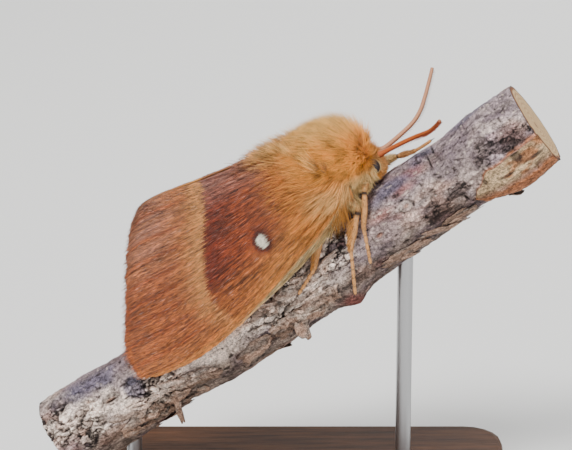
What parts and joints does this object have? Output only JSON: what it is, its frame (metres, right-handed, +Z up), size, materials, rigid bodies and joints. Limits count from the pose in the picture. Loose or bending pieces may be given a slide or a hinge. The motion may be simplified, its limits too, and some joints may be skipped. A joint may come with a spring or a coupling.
{
  "type": "oak eggar moth",
  "caption": "Stout furry moth with wings folded like a roof, at rest on a slanting cut length of branch held over a flat base by short rods.",
  "frame": {"origin": "centre of the whole model's footprint, at the underside of the stand's base", "axes": "+X towards the moth's head, up the slope of the branch; +Y to the moth's left; +Z up, away from the stand's base"},
  "size_m": [0.0666, 0.038, 0.0587],
  "materials": {
    "golden_coat": "soft golden tan hair-scales",
    "dark_eye": "dark, slightly glossy",
    "tan_antenna": "matt orange-brown",
    "russet_wing": "matt russet scales with a pale band",
    "tan_hindwing": "matt tan scales",
    "tan_leg": "matt orange-tan, short hair-scales",
    "grey_bark": "weathered bark",
    "stand_wood": "dark satin wood",
    "stand_steel": "brushed"
  },
  "bodies": {
    "root": {"head": "golden_coat", "thorax": "golden_coat", "abdomen": "golden_coat", "palp_R": "golden_coat", "palp_L": "golden_coat", "eye_R": "dark_eye", "eye_L": "dark_eye", "antenna_R": "tan_antenna", "antenna_L": "tan_antenna", "forewing_R": "russet_wing", "forewing_L": "russet_wing", "hindwing_R": "tan_hindwing", "hindwing_L": "tan_hindwing", "foreleg_R": "tan_leg", "foreleg_L": "tan_leg", "midleg_R": "tan_leg", "midleg_L": "tan_leg", "hindleg_R": "tan_leg", "hindleg_L": "tan_leg", "perch": "grey_bark", "stand_base": "stand_wood", "stand_rod_rear": "stand_steel", "stand_rod_front": "stand_steel"}
  },
  "joints": []
}
